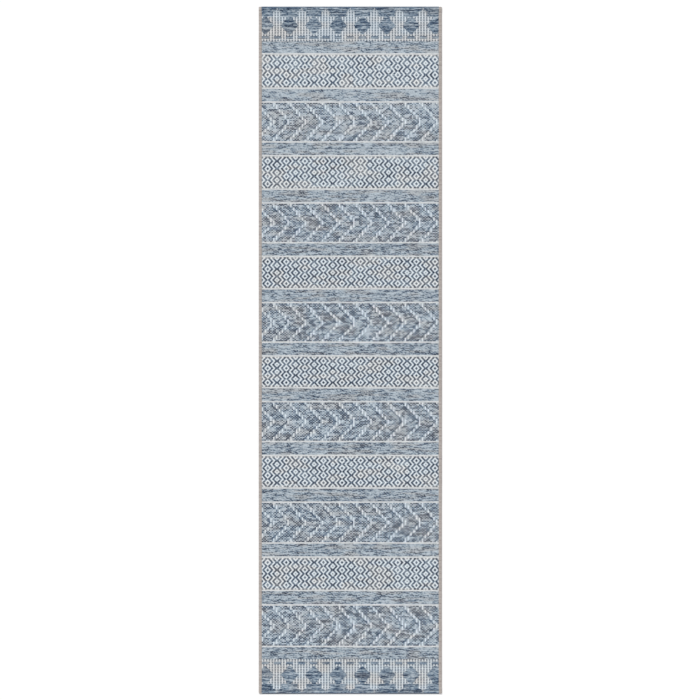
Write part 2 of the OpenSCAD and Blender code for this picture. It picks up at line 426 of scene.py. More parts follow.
def draw_border(x, pick, seed, from_end):
    cloth = blank_drawing(x, pick)
    from_column = np.abs((x + BORDER_REPEAT / 2) % BORDER_REPEAT - BORDER_REPEAT / 2)
    from_lozenge = BORDER_REPEAT / 2 - from_column
    from_dash = np.abs((x + DASH_REPEAT / 2) % DASH_REPEAT - DASH_REPEAT / 2)
    lozenge_half = np.interp(from_end, [p[0] for p in LOZENGE], [p[1] for p in LOZENGE], 0, 0)
    d = from_end + 0 * x
    tip = (d >= FOLD_D) & (d < TIP_D) & (from_column < HALF_WIDTHS["tip"])
    shoulder = (d >= TIP_D) & (d < SHOULDER_D) & (from_column < HALF_WIDTHS["shoulder"])
    column = (d >= SHOULDER_D) & (d < COLUMN_D) & (from_column < HALF_WIDTHS["column"])
    field = (d >= COLUMN_D) & (d < FIELD_D) & (from_lozenge >= lozenge_half)
    dashes = (d >= FIELD_D) & (d < DASH_D)
    bar = dashes & (from_dash < DASH_HALF)
    cream = tip | shoulder | column | field | (dashes & ~bar) | (d >= DASH_D)
    runs = dye_runs(x, pick, seed, run=105, own_run=30, speck=0.8)
    dent = dent_at(x)
    tweed = soft_noise(dent, np.floor(pick) + 0 * x, seed + 3)
    cloudy = patches(x, d, BORDER_PATCH, seed + 5)
    warp_line = (dent % 4) < 2
    speck = (np.floor(d / CELL_L) % 2 == 0) & ~warp_line
    blue = spread(BLUE_DYE, (BLUE_SPREAD, runs))
    # painted shade round the fold: darker blue within FOLD_D of the end
    blue = np.where(d < FOLD_D, spread(FOLD_SHADE_DYE, (FOLD_SPREAD, runs)), blue)
    middle = (d >= DASH_MIDDLE[0]) & (d < DASH_MIDDLE[1])
    dash_dye = spread(np.where(middle, DASH_MIDDLE_DYE, DASH_DYE), (DASH_SPREAD, runs))
    blue = np.where(bar, dash_dye, blue)
    gap = spread(GAP_DYE, (GAP_SPREAD, runs))
    cloth["dye"] = np.where(cream, np.where(speck, SPECK_DYE, gap), blue)
    line = spread(LINE_WHITE, (WHITE_SPREAD, tweed)) - np.where(d < SHOULDER_D, END_DIM, 0.0)
    cloth["cream"] = np.where(cream & warp_line, np.clip(line, 0, 1), 0.0)
    gap_cream = spread(GAP_CREAM, (GAP_CREAM_SPREAD, tweed))
    cloth["cream"] = np.where(cream & ~warp_line & ~speck, gap_cream, cloth["cream"])
    warm = spread(np.where(cream, CREAM_WARM, 0.0), (1.0, cloudy))
    cloth["warm"] = np.clip(warm, 0, BORDER_WARM)
    cloth["weft_up"] = ~(cream & warp_line)
    return cloth


# %% [markdown]
# ### Pinstripes
#
# A pinstripe is two thick picks of cream weft, packed hard against the band, so it stands a little
# higher than its neighbours.

# %% Drawing of a pinstripe
PINSTRIPE_PICKS = 2
PINSTRIPE_CREAM, PINSTRIPE_SPREAD = 0.82, 0.5
PINSTRIPE_DYE, PINSTRIPE_WARM = 0.8, 0.5


def draw_pinstripe(x, pick, seed):
    cloth = blank_drawing(x, pick)
    tone = dye_runs(x, pick, seed, run=40, own_run=15)
    cloth["cream"] = spread(PINSTRIPE_CREAM, (PINSTRIPE_SPREAD, tone))
    cloth["dye"] = np.full_like(tone, PINSTRIPE_DYE)
    cloth["warm"] = np.full_like(tone, PINSTRIPE_WARM)
    return cloth


# %% [markdown]
# ## Turning a drawing into cloth
#
# The mesh starts as a flat grid, with three rows of faces to a pick and one or three columns to a
# stitch. Its rim is pulled down to the backing and closed underneath, so every band is a closed, thin
# slab. The backing itself is plainer, one face to each cell of its drawing. Then each point
# goes to its place by a rule: along the rug it follows a path, which is straight in the bands and
# turns under in the borders, and off that path it rises or sinks with the weave. An alternative is a
# displacement modifier on a subdivided plane, but that rounds off the very steps that make a weave.

# %% A closed slab, fine on top and plain underneath
blanks = {}


def cloth_blank(columns, rows, turned_over):
    """A slab of columns x rows grid squares: top at z 0, underside at z -1. Made once for each size."""
    key = (columns, rows, turned_over)
    if key in blanks:
        return blanks[key]
    bm = bmesh.new()
    bmesh.ops.create_grid(bm, x_segments=columns, y_segments=rows, size=0.5)
    bmesh.ops.translate(bm, verts=bm.verts, vec=(0.5, 0.5, 0))
    bmesh.ops.scale(bm, verts=bm.verts, vec=(columns, rows, 1))
    top = list(bm.faces)
    rim = [e for e in bm.edges if e.is_boundary]
    pulled = bmesh.ops.extrude_edge_only(bm, edges=rim)["geom"]
    low = [g for g in pulled if isinstance(g, bmesh.types.BMVert)]
    bmesh.ops.translate(bm, verts=low, vec=(0, 0, -1))
    spare = [v for v in low if 0.5 < v.co.x < columns - 0.5]
    bmesh.ops.dissolve_verts(bm, verts=spare)
    sides = [e for e in bm.edges if e.is_boundary and abs(e.verts[0].co.x - e.verts[1].co.x) < 0.5]
    bmesh.ops.bridge_loops(bm, edges=sides)
    bmesh.ops.recalc_face_normals(bm, faces=bm.faces)
    for face in top:
        face.smooth = True
    if turned_over:
        bmesh.ops.reverse_faces(bm, faces=bm.faces)
    open_edges = sum(not e.is_manifold for e in bm.edges)
    mesh = bpy.data.meshes.new(f"blank_{columns}_{rows}")
    bm.to_mesh(mesh)
    bm.free()
    blanks[key] = mesh
    print(f"blank {columns} x {rows}: {len(mesh.polygons)} faces, {open_edges} open edges")
    return mesh


# %% [markdown]
# A yarn looks round only if the mesh has points on its shoulders. So each pick gets three rows of
# points: one in the valley beside it, and one on each shoulder. Where yarns also run up and down, as
# in the arrow bands, each stitch gets three columns in the same way. Two rows, valley and crown, would
# cost less, but every point's normal would then stand upright and the ribs would look flat.

# %% The relief of the weave
SHOULDERS = (0.0, 0.24, 0.76)  # places of the points in a pick, as shares of its width
EDGES_ONLY = (0.0,)
CREST = 0.22 * MM  # above the band's mean height
FLOAT_DIP = 0.04 * MM  # how far a float sinks between two of its own stitches
END_DIP = 0.26 * MM  # how far it sinks where it ends
VALLEY = 0.50 * MM  # below the band's mean height
SEAM_DEPTH = 0.4 * VALLEY  # below the mean height, where a weft stitch meets a warp one
DYE_SHADE = 0.6  # how much the dye counts in a stitch's shade, beside the cream
SAME_SHADE = 0.14  # neighbours nearer than this in shade are one float


def between(first, second, same, crest_a, crest_b, ends):
    """Height at the line between two stitches; same means that one float runs across it."""
    low = np.minimum(crest_a, crest_b)
    both = first & second
    return np.where(both & same, low - FLOAT_DIP, np.where(both, low - END_DIP, ends))


def relief(cloth, across, along):
    """Heights of the grid points, for stitches with those places of points across and along."""
    weft, crest = cloth["weft_up"], CREST + cloth["lift"] * MM
    picks, dents = weft.shape
    nx, ny = len(across), len(along)
    high = np.full((picks * ny + 1, dents * nx + 1), -VALLEY)
    shade = cloth["cream"] + DYE_SHADE * cloth["dye"]
    one_float = np.abs(np.diff(shade, axis=1)) < SAME_SHADE
    for i in range(1, ny):
        for j in range(1, nx):
            high[i:-1:ny, j:-1:nx] = crest
        left, right = weft[:, :-1], weft[:, 1:]
        seam = between(left, right, one_float, crest[:, :-1], crest[:, 1:], -SEAM_DEPTH)
        warp_seam = np.minimum(crest[:, :-1], crest[:, 1:])
        seam = np.where(~left & ~right, warp_seam, seam)
        high[i:-1:ny, nx:-1:nx] = seam
        high[i:-1:ny, 0] = crest[:, 0] - END_DIP
        high[i:-1:ny, -1] = crest[:, -1] - END_DIP
    below, above = ~weft[:-1, :], ~weft[1:, :]
    end_crest = np.minimum(crest[:-1, :], crest[1:, :])
    standing = np.where(below & above, end_crest - 2 * FLOAT_DIP, -VALLEY)
    for j in range(1, nx):
        high[ny:-1:ny, j:-1:nx] = standing
    high[ny:-1:ny, nx:-1:nx] = (standing[:, :-1] + standing[:, 1:]) / 2
    return high


# %% [markdown]
# A rug that lies on a floor is never quite flat or straight. One gentle rule moves every piece alike:
# long shallow waves that lift the cloth by a millimetre or so, and a slight bow in the weft. All the
# pieces share it, so they stay joined.

# %% The lie of the cloth
WAVE_LIFT = 1.3 * MM
WAVE_W, WAVE_L = 0.34, 0.42  # metres from one wave to the next, across and along
WEFT_BOW = 0.9 * MM
BOW_W, BOW_L = 0.30, 0.12  # metres over which the bow changes
WAVE_FROM, WAVE_GAIN = 0.38, 2.2  # the cloth touches the floor below that value of the noise
HELD_L = 0.08  # metres from each end over which the waves and the bow grow
MIDDLE_SHARE = 0.35  # waves on the middle line, as a share of those at the long edges


def settle(points):
    """Moves points as the whole cloth lies: x, y, z in metres, changed in place."""
    x, y = points[:, 0], points[:, 1]
    wave = soft_noise(x / WAVE_W + 7.3, y / WAVE_L + 11.1, 41)
    edge = np.clip(np.abs(x) / (rug_w / 2), 0, 1) ** 2
    ends = np.clip((rug_l / 2 - np.abs(y)) / HELD_L, 0, 1)
    free = MIDDLE_SHARE + (1 - MIDDLE_SHARE) * edge
    lift = WAVE_LIFT * ends * free * np.clip(WAVE_GAIN * (wave - WAVE_FROM), 0, 1)
    bow = soft_noise(x / BOW_W + 3.7, y / BOW_L + 5.9, 43) - 0.5
    points[:, 1] += 2 * WEFT_BOW * ends * bow
    points[:, 2] += lift


# %% Laying a woven slab along a path
FLOAT_SWAY = 0.45 * MM  # how far the end of a float strays from its dent
UNDERSIDE_CROWN = 0.4  # the underside is neither valley nor crown, so it takes a middling share of the painted valley shade


def point_places(count, shares):
    """Places of the grid lines along a row of count stitches, with the first stitch from 0 to 1."""
    starts = np.arange(count)[:, None] + np.array(shares)[None, :]
    return np.append(starts.ravel(), count)


def riding(name, mesh):
    """An object for the mesh, in the scene and riding on the rug's one body."""
    piece = bpy.data.objects.new(name, mesh)
    bpy.context.scene.collection.objects.link(piece)
    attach(piece, "root")
    return piece


def woven_piece(name, cloth, path, width, thickness, across, along, turned_over=False):
    """Lays a drawing along a path and returns the piece.

    path holds y, z and the outward direction (ny, nz) at each row of grid points.
    """
    picks, dents = cloth["dye"].shape
    nx, ny = len(across), len(along)
    mesh = cloth_blank(nx * dents, ny * picks, turned_over).copy()
    mesh.name = name
    flat = np.empty(len(mesh.vertices) * 3)
    mesh.vertices.foreach_get("co", flat)
    flat = flat.reshape(-1, 3)
    column = np.rint(flat[:, 0]).astype(int)
    row = np.rint(flat[:, 1]).astype(int)
    on_top = flat[:, 2] > -0.5
    high = relief(cloth, across, along)
    off = np.where(on_top, high[row, column], -thickness)
    sway = np.random.default_rng(len(name) + picks).uniform(-1, 1, high.shape) * FLOAT_SWAY
    sway[:, [0, -1]] = 0
    points = np.empty_like(flat)
    points[:, 0] = width * (point_places(dents, across)[column] / dents - 0.5)
    points[:, 0] += np.where(on_top & (row % ny > 0), sway[row, column], 0)
    points[:, 1] = path["y"][row] + path["ny"][row] * off
    points[:, 2] = path["z"][row] + path["nz"][row] * off
    settle(points)
    middles = np.empty(len(mesh.polygons) * 3)
    mesh.polygons.foreach_get("center", middles)
    middles = middles.reshape(-1, 3)
    dent = np.clip((middles[:, 0] / nx).astype(int), 0, dents - 1)
    pick = np.clip((middles[:, 1] / ny).astype(int), 0, picks - 1)
    stitch = np.stack([cloth[k][pick, dent] for k in ("dye", "cream", "warm")], axis=1)
    mesh.vertices.foreach_set("co", points.ravel())
    attribute = mesh.attributes.new("stitch", "FLOAT_VECTOR", "FACE")
    attribute.data.foreach_set("vector", np.clip(stitch, 0, 1).ravel())
    # the crown share of each point drives the painted shade that the material puts in the valleys
    crown = mesh.attributes.new("crown", "FLOAT", "POINT")
    share = (high[row, column] + VALLEY) / (CREST + VALLEY)
    crown.data.foreach_set("value", np.where(on_top, np.clip(share, 0, 1), UNDERSIDE_CROWN))
    mesh.update()
    return riding(name, mesh)


def flat_path(low_y, high_y, z, picks, along):
    """Grid rows of a flat band, from its near side to its far side."""
    share = point_places(picks, along) / picks
    return {
        "y": low_y + (high_y - low_y) * share,
        "z": np.full(len(share), z),
        "ny": np.zeros(len(share)),
        "nz": np.ones(len(share)),
    }


# %% [markdown]
# ## The yarn's material
#
# All the cloth is one kind of yarn, so one recipe serves it. The drawing's three numbers ride on each
# face of the mesh as an attribute, and the nodes turn them into colour: a ramp of dye from navy to
# pale grey blue, a second ramp of greys and taupes, and over both a cream that runs from a cool to a
# warm one. Fine noise adds single fibres, and a tilted wave gives the twist of the plies. It could all
# be an image, but nodes keep the fibres sharp at any distance.

# %% Yarn colours
NAVY_TO_PALE = [
    (0.00, (52, 68, 90)),
    (0.22, (88, 108, 132)),
    (0.48, (132, 150, 166)),
    (0.74, (168, 182, 195)),
    (1.00, (195, 207, 217)),
]
TAUPE_TO_PALE = [
    (0.00, (72, 74, 82)),
    (0.30, (112, 112, 116)),
    (0.60, (155, 155, 155)),
    (1.00, (194, 195, 196)),
]
CREAM = (222, 231, 238)
WARM_CREAM = (234, 230, 226)


def colour_ramp(nodes, stops):
    ramp = nodes.new("ShaderNodeValToRGB")
    elements = ramp.color_ramp.elements
    while len(elements) < len(stops):
        elements.new(0.5)
    for element, (place, colour) in zip(elements, stops):
        element.position = place
        element.color = screen_colour(*colour)
    return ramp


def mixed(nodes, links, factor, first, second, blend="MIX"):
    """A colour mix node; factor is a socket or a number."""
    mix = nodes.new("ShaderNodeMix")
    mix.data_type = "RGBA"
    mix.blend_type = blend
    if isinstance(factor, float):
        mix.inputs[0].default_value = factor
    else:
        links.new(factor, mix.inputs[0])
    links.new(first, mix.inputs[6])
    if isinstance(second, tuple):
        mix.inputs[7].default_value = second
    else:
        links.new(second, mix.inputs[7])
    return mix.outputs[2]


# %% What all the yarns share
FIBRE_SIZE = 0.7 * MM
FIBRE_DETAIL = 3
FIBRE_RANGE = (0.3, 0.7)  # where most of the fibre noise lies
YARN_SHEEN, SHEEN_ROUGHNESS = 0.12, 0.5
YARN_SPECULAR = 0.25
YARN_ROUGHNESS = (0.78, 0.98)


def new_yarn(name):
    """A material with the soft sheen of yarn; returns it with its nodes, links and shader."""
    material = bpy.data.materials.new(name)
    material.use_nodes = True
    nodes, links = material.node_tree.nodes, material.node_tree.links
    shader = nodes["Principled BSDF"]
    shader.inputs["Sheen Weight"].default_value = YARN_SHEEN
    shader.inputs["Sheen Roughness"].default_value = SHEEN_ROUGHNESS
    shader.inputs["Specular IOR Level"].default_value = YARN_SPECULAR
    return material, nodes, links, shader


def attribute_node(nodes, name):
    node = nodes.new("ShaderNodeAttribute")
    node.attribute_name = name
    return node


def stretched(nodes, links, vector, scale):
    mapping = nodes.new("ShaderNodeMapping")
    mapping.inputs["Scale"].default_value = scale
    links.new(vector, mapping.inputs["Vector"])
    return mapping.outputs[0]


def noise(nodes, links, vector, size, detail):
    node = nodes.new("ShaderNodeTexNoise")
    node.inputs["Scale"].default_value = 1 / size
    node.inputs["Detail"].default_value = detail
    links.new(vector, node.inputs["Vector"])
    return node.outputs[0]


def remapped(nodes, links, value, low, high, start=(0.0, 1.0)):
    """The value moved from the start range to the one from low to high."""
    node = nodes.new("ShaderNodeMapRange")
    node.inputs["From Min"].default_value = start[0]
    node.inputs["From Max"].default_value = start[1]
    node.inputs["To Min"].default_value = low
    node.inputs["To Max"].default_value = high
    links.new(value, node.inputs[0])
    return node.outputs[0]


def bumped(nodes, links, height, distance, strength=1.0, under=None):
    """A bump of the given depth in metres, laid over the one under it."""
    node = nodes.new("ShaderNodeBump")
    node.inputs["Strength"].default_value = strength
    node.inputs["Distance"].default_value = distance
    links.new(height, node.inputs["Height"])
    if under:
        links.new(under, node.inputs["Normal"])
    return node.outputs[0]


def colour_and_roughness(nodes, links, shader, colour, fibre, fibre_tone, valley_shade):
    """Single fibres lighter and darker, painted shade in the valleys, and rougher pale fibres."""
    tone = remapped(nodes, links, fibre, *fibre_tone, start=FIBRE_RANGE)
    colour = mixed(nodes, links, 1.0, colour, tone, "MULTIPLY")
    # painted shade: the crown share darkens the colour in the valleys between yarns
    crown = attribute_node(nodes, "crown").outputs["Fac"]
    painted_valley_shade = remapped(nodes, links, crown, *valley_shade)
    colour = mixed(nodes, links, 1.0, colour, painted_valley_shade, "MULTIPLY")
    links.new(colour, shader.inputs["Base Color"])
    links.new(remapped(nodes, links, fibre, *YARN_ROUGHNESS), shader.inputs["Roughness"])


# %% The recipe for woven yarn
FIBRE_STRETCH = (0.25, 1.0, 1.0)  # fibres lie along the weft, so the noise is drawn out that way
WEAVE_FIBRE_TONE = (0.86, 1.12)
# painted shade: colour factor from the valleys to the crowns of the woven yarn
WEAVE_VALLEY_SHADE = (0.62, 1.05)
PLY_TWIST = 1.3 * MM
PLY_WANDER = 1.5
PLY_DEPTH = 0.16 * MM
FUZZ_DEPTH, FUZZ_STRENGTH = 0.10 * MM, 0.6
RIB_WANDER = 0.4
WAVE_TURN = 2 * math.pi / 20  # a wave texture's scale for one wave to the metre; diagonals need two


def yarn_material(name, ribs=0.0):
    """Material for woven yarn.

    ribs is the depth, in metres, of fine cross ribs for cloth whose picks have no mesh of their own.
    """
    material, nodes, links, shader = new_yarn(name)
    split = nodes.new("ShaderNodeSeparateXYZ")
    links.new(attribute_node(nodes, "stitch").outputs["Vector"], split.inputs[0])
    dye, cream, warm = split.outputs["X"], split.outputs["Y"], split.outputs["Z"]
    dyed = colour_ramp(nodes, NAVY_TO_PALE)
    taupe = colour_ramp(nodes, TAUPE_TO_PALE)
    creams = colour_ramp(nodes, [(0.0, CREAM), (1.0, WARM_CREAM)])
    links.new(dye, dyed.inputs[0])
    links.new(dye, taupe.inputs[0])
    links.new(warm, creams.inputs[0])
    colour = mixed(nodes, links, warm, dyed.outputs[0], taupe.outputs[0])
    colour = mixed(nodes, links, cream, colour, creams.outputs[0])
    place = nodes.new("ShaderNodeTexCoord").outputs["Object"]
    along = stretched(nodes, links, place, FIBRE_STRETCH)
    fibre = noise(nodes, links, along, FIBRE_SIZE, FIBRE_DETAIL)
    colour_and_roughness(
        nodes, links, shader, colour, fibre, WEAVE_FIBRE_TONE, WEAVE_VALLEY_SHADE
    )
    relief_below = None
    if ribs:
        rib = nodes.new("ShaderNodeTexWave")
        rib.bands_direction = "Y"
        rib.inputs["Scale"].default_value = WAVE_TURN / (PICK_L * MM)
        rib.inputs["Distortion"].default_value = RIB_WANDER
        links.new(place, rib.inputs["Vector"])
        relief_below = bumped(nodes, links, rib.outputs[1], ribs)
    twist = nodes.new("ShaderNodeTexWave")
    twist.bands_direction = "DIAGONAL"
    twist.inputs["Scale"].default_value = 2 * WAVE_TURN / PLY_TWIST
    twist.inputs["Distortion"].default_value = PLY_WANDER
    links.new(place, twist.inputs["Vector"])
    plies = bumped(nodes, links, twist.outputs[1], PLY_DEPTH, under=relief_below)
    fuzz = bumped(nodes, links, fibre, FUZZ_DEPTH, FUZZ_STRENGTH, under=plies)
    links.new(fuzz, shader.inputs["Normal"])
    return material


yarn = {
    "stripe_yarn": yarn_material("stripe_yarn"),
    "diamond_yarn": yarn_material("diamond_yarn"),
    "arrow_yarn": yarn_material("arrow_yarn"),
    "border_yarn": yarn_material("border_yarn"),
    "cream_yarn": yarn_material("cream_yarn"),
    "backing_yarn": yarn_material("backing_yarn", ribs=0.4 * MM),
}


def finish_piece(piece, slot, *nodes):
    piece.data.materials.append(yarn[slot])
    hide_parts(*nodes)


# %% [markdown]
# ## Weaving the straight bands
#
# Each band's frame node gives its place. The drawing is made for the middle of every stitch, counted
# in picks from the band's far side, because the pattern reads from the far end.

# %% One straight band
FAR_END_PAINTED_LIGHT = 0.19  # painted light: how much paler the bands are made at the far end, as if more light fell there
FAR_LIGHT_FADE_L = 1.1  # metres over which the painted light fades out
UNEVEN, UNEVEN_W = 0.16, 9  # mm between the highest and lowest yarn, and mm across for one rise
shown = []


def weave_band(name, node, draw, picks, dents, slot, seed, across=EDGES_ONLY):
    low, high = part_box(node)
    width = (high.x - low.x) / MM
    x = ((np.arange(dents) + 0.5) / dents - 0.5)[None, :] * width
    pick = (picks - 0.5 - np.arange(picks))[:, None]
    cloth = draw(x, pick, seed)
    uneven = soft_noise(x / UNEVEN_W, pick + 0.5, seed + 9)
    cloth["lift"] = spread(cloth["lift"], (UNEVEN, uneven))
    # painted light: bands near the far end are made paler, as if more light fell there
    from_far = (rug_l / 2 - (low.y + high.y) / 2) / FAR_LIGHT_FADE_L
    cloth["dye"] = cloth["dye"] + FAR_END_PAINTED_LIGHT * np.clip(1 - from_far, 0, 1)
    path = flat_path(low.y, high.y, high.z, picks, SHOULDERS)
    piece = woven_piece(name, cloth, path, high.x - low.x, high.z - low.z, across, SHOULDERS)
    finish_piece(piece, slot, node)
    shown.append(piece)
    return piece


# %% Diamonds, arrows, stripes and pinstripes
REPEATS = 6
for k in range(1, REPEATS + 1):
    weave_band(
        f"diamond_cloth_{k}",
        f"diamond_face_{k}",
        draw_diamonds,
        DIAMOND_PICKS,
        DENTS,
        "diamond_yarn",
        seed=100 + 10 * k,
    )
    weave_band(
        f"arrow_cloth_{k}",
        f"arrow_face_{k}",
        draw_arrows,
        ARROW_ROWS,
        DENTS // 2,
        "arrow_yarn",
        seed=200 + 10 * k,
        across=SHOULDERS,
    )
for k in range(1, 2 * REPEATS + 2):
    weave_band(
        f"stripe_cloth_{k}",
        f"stripe_face_{k}",
        draw_stripe,
        STRIPE_PICKS,
        DENTS,
        "stripe_yarn",
        seed=300 + 10 * k,
    )
for k in range(1, 4 * REPEATS + 1):
    weave_band(
        f"pinstripe_cloth_{k}",
        f"pinstripe_{k}",
        draw_pinstripe,
        PINSTRIPE_PICKS,
        DENTS,
        "cream_yarn",
        seed=600 + 10 * k,
    )
print("straight bands:", len(shown))

# %% [markdown]
# ## Borders that turn under
#
# At each end the cloth runs up over its own turned edge, round the fold, and back along the floor.
# The face yarn stays outside all the way, so the strip that lies on the floor shows the face too.
# The side view of that path is the same curve as in the frame: a smooth slope, a flat, half a circle
# and a flat.

# %% The side view of a hem
TURNED = 17 * MM  # cloth turned under
SLOPE_GAP = 1 * MM  # from the turned edge to the foot of the slope
SLOPE = 12 * MM  # length of the slope
FOLD_STEPS, SLOPE_STEPS = 24, 16
fold_r = hem_t / 2
backing_r = fold_r - pattern_t
inner_r = backing_r - backing_t


def hem_side(r, flat_z):
    """Points (inward from the end, up) from the turned tip round the fold to the single cloth."""
    turn = np.radians(270 - 180 * np.linspace(0, 1, FOLD_STEPS + 1))
    fold = np.stack([fold_r + r * np.cos(turn), fold_r + r * np.sin(turn)], axis=1)
    u = np.linspace(0, 1, SLOPE_STEPS + 1)
    high = fold_r + r
    slope = np.stack(
        [TURNED + SLOPE_GAP + SLOPE * u, high + (flat_z - high) * (1 - np.cos(np.pi * u)) / 2],
        axis=1,
    )
    return np.concatenate([[[TURNED, fold_r - r]], fold, slope])


def rows_along(points, places):
    """y, z and outward direction at chosen distances along a line of (inward, up) points."""
    steps = np.linalg.norm(np.diff(points, axis=0), axis=1)
    along = np.concatenate([[0], np.cumsum(steps)])
    inward = np.interp(places, along, points[:, 0])
    up = np.interp(places, along, points[:, 1])
    ahead = np.stack([np.gradient(inward), np.gradient(up)], axis=1)
    ahead /= np.linalg.norm(ahead, axis=1)[:, None]
    return inward, up, ahead


# %% Weave both borders
GROOVE_HALF = 1.4 * MM  # half the width of the groove that the hem's stitches pull in
GROOVE_SINK = 0.75  # mm
TIP_SPARE = 0.5 * MM  # clear of the turned tip


def weave_border(name, node, seed, end):
    """end is 1 for the far end and -1 for the near one.

    Both are laid from their inner side outwards. At the near end that is against the grid's own
    direction, so its slab is turned over to keep the top outside.
    """
    low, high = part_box(node)
    border_l = high.y - low.y
    side = np.concatenate(
        [hem_side(fold_r, backing_t + pattern_t), [[border_l, backing_t + pattern_t]]]
    )[::-1]
    length = np.linalg.norm(np.diff(side, axis=0), axis=1).sum()
    picks = round(length / MM / (CELL_L / 2))
    share = point_places(picks, SHOULDERS) / picks
    inward, up, ahead = rows_along(side, share * length)
    path = {
        "y": end * (rug_l / 2 - inward),
        "z": up,
        "ny": end * ahead[:, 1],
        "nz": -ahead[:, 0],
    }
    pick_inward, pick_up, _ = rows_along(side, (np.arange(picks) + 0.5) / picks * length)
    over = (pick_up > fold_r) | (pick_inward > TURNED + TIP_SPARE)
    from_end = np.where(over, pick_inward / MM, 0.0)[:, None]
    x = ((np.arange(DENTS) + 0.5) / DENTS - 0.5)[None, :] * (high.x - low.x) / MM
    pick = np.arange(picks)[::-1][:, None] + 0.5
    cloth = draw_border(x, pick, seed, from_end)
    stitch_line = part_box(node.replace("border_face", "hem_stitches"))
    groove = rug_l / 2 - abs(stitch_line[0].y + stitch_line[1].y) / 2
    near_groove = np.abs(pick_inward - groove) < GROOVE_HALF
    cloth["lift"] = np.where(near_groove[:, None], -GROOVE_SINK, 0.0) + 0 * x
    turned = end < 0
    width = high.x - low.x
    piece = woven_piece(name, cloth, path, width, pattern_t, EDGES_ONLY, SHOULDERS, turned)
    finish_piece(piece, "border_yarn", node)
    shown.append(piece)
    print(f"{name}: {picks} picks along {length / MM:.0f} mm")
    return piece


weave_border("far_border_cloth", "far_border_face", 17, 1)
weave_border("near_border_cloth", "near_border_face", 29, -1)

# %% [markdown]
# ## The backing
#
# Turned over, the rug shows the back of the same weave: where the face is blue the back is pale, and
# the other way round, all a little blurred by the binding weft. It is one length of cloth, with both
# ends turned under, and everything else is sewn or woven to it.

# %% Rows of the backing, fine at the folds and two picks long between them
BACK_CELL_W = 2 * dent_w  # mm across for each cell of the back
BORDER_ROWS = 22  # rows of the back in the flat part of a border
PICKS_OF = {"diamond": DIAMOND_PICKS, "arrow": ARROW_ROWS, "stripe": STRIPE_PICKS}
ROWS_OF = {"diamond": DIAMOND_PICKS // 2, "arrow": ARROW_ROWS, "stripe": 8, "pinstripe": 1}
SLOPE_ROWS, FOLD_ROWS = 8, 8


def hem_rows():
    """Rows of the backing from the turned tip to the foot of the slope: inward from the end, up."""
    side = hem_side(inner_r, 0.0)
    steps = np.linalg.norm(np.diff(side, axis=0), axis=1)
    hem = np.concatenate([[0], np.cumsum(steps)])
    tip_l, fold_l, slope_l = hem[1], hem[FOLD_STEPS + 1], hem[FOLD_STEPS + 2]
    round_fold = np.linspace(tip_l, fold_l, FOLD_ROWS + 1)
    down_slope = np.linspace(slope_l, hem[-1], SLOPE_ROWS)
    inward, up, _ = rows_along(side, np.concatenate([[0, tip_l / 2], round_fold, down_slope]))
    return inward, up


def body_rows(foot_y):
    """Row lines between the two slopes, which follow the picks of each band."""
    bands = []
    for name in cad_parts:
        kind = name.split("_")[0]
        if kind in ROWS_OF:
            low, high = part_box(name)
            bands.append((low.y, high.y, ROWS_OF[kind]))
    bands.sort()
    bands = [(-foot_y, bands[0][0], BORDER_ROWS), *bands, (bands[-1][1], foot_y, BORDER_ROWS)]
    lines = [np.linspace(low_y, high_y, rows + 1)[:-1] for low_y, high_y, rows in bands]
    return np.concatenate(lines)[1:]


hem_in, hem_up = hem_rows()
body_y = body_rows(rug_l / 2 - hem_in[-1])
back_y = np.concatenate([hem_in - rug_l / 2, body_y, rug_l / 2 - hem_in[::-1]])
back_z = np.concatenate([hem_up, np.zeros(len(body_y)), hem_up[::-1]])
print("rows of the backing:", len(back_y) - 1)

# %% What the back shows, from the face's own drawings
BACK_OF = [("diamond", draw_diamonds, REPEATS, 100), ("arrow", draw_arrows, REPEATS, 200)]
BACK_OF += [("stripe", draw_stripe, 2 * REPEATS + 1, 300)]
QUARTERS = (-0.25, 0.25)  # places in a cell of the back where the face is looked up, each way
PINSTRIPE_PALE = 0.9
DYE_PALE, BORDER_DYE_PALE = 0.55, 0.45  # how pale undiluted dye looks, beside cream
BACK_DYE, BACK_CREAM = (0.82, 0.58), (0.58, 0.9)  # under a dark face, and what a pale one takes off
BACK_DYE_SPREAD, BACK_CREAM_SPREAD = 0.20, 0.25
BACK_WARM, BACK_WARM_SPREAD = 0.35, 0.6
BACK_GRAIN, BACK_PATCH = (9, 1), (60, 9)  # mm across and rows along


def face_paleness(x, y):
    """How pale the face is, from 0 to 1, at x across, in mm, and y along, in metres."""
    pale = np.full((len(y), x.shape[1]), PINSTRIPE_PALE)
    for kind, draw, count, seed in BACK_OF:
        for k in range(1, count + 1):
            low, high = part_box(f"{kind}_face_{k}")
            here = ((y >= low.y) & (y < high.y))[:, 0]
            pick = (high.y - y[here]) / (high.y - low.y) * PICKS_OF[kind]
            face = draw(x, pick, seed + 10 * k)
            pale[here] = np.maximum(face["cream"], DYE_PALE * face["dye"])
    for end, node in ((1, "far_border_face"), (-1, "near_border_face")):
        low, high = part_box(node)
        here = ((y >= low.y) & (y < high.y))[:, 0]
        from_end = (rug_l / 2 - end * y[here]) / MM
        face = draw_border(x, from_end / PICK_L, 17, from_end)
        pale[here] = np.maximum(face["cream"], BORDER_DYE_PALE * face["dye"])
    return np.clip(pale, 0, 1)


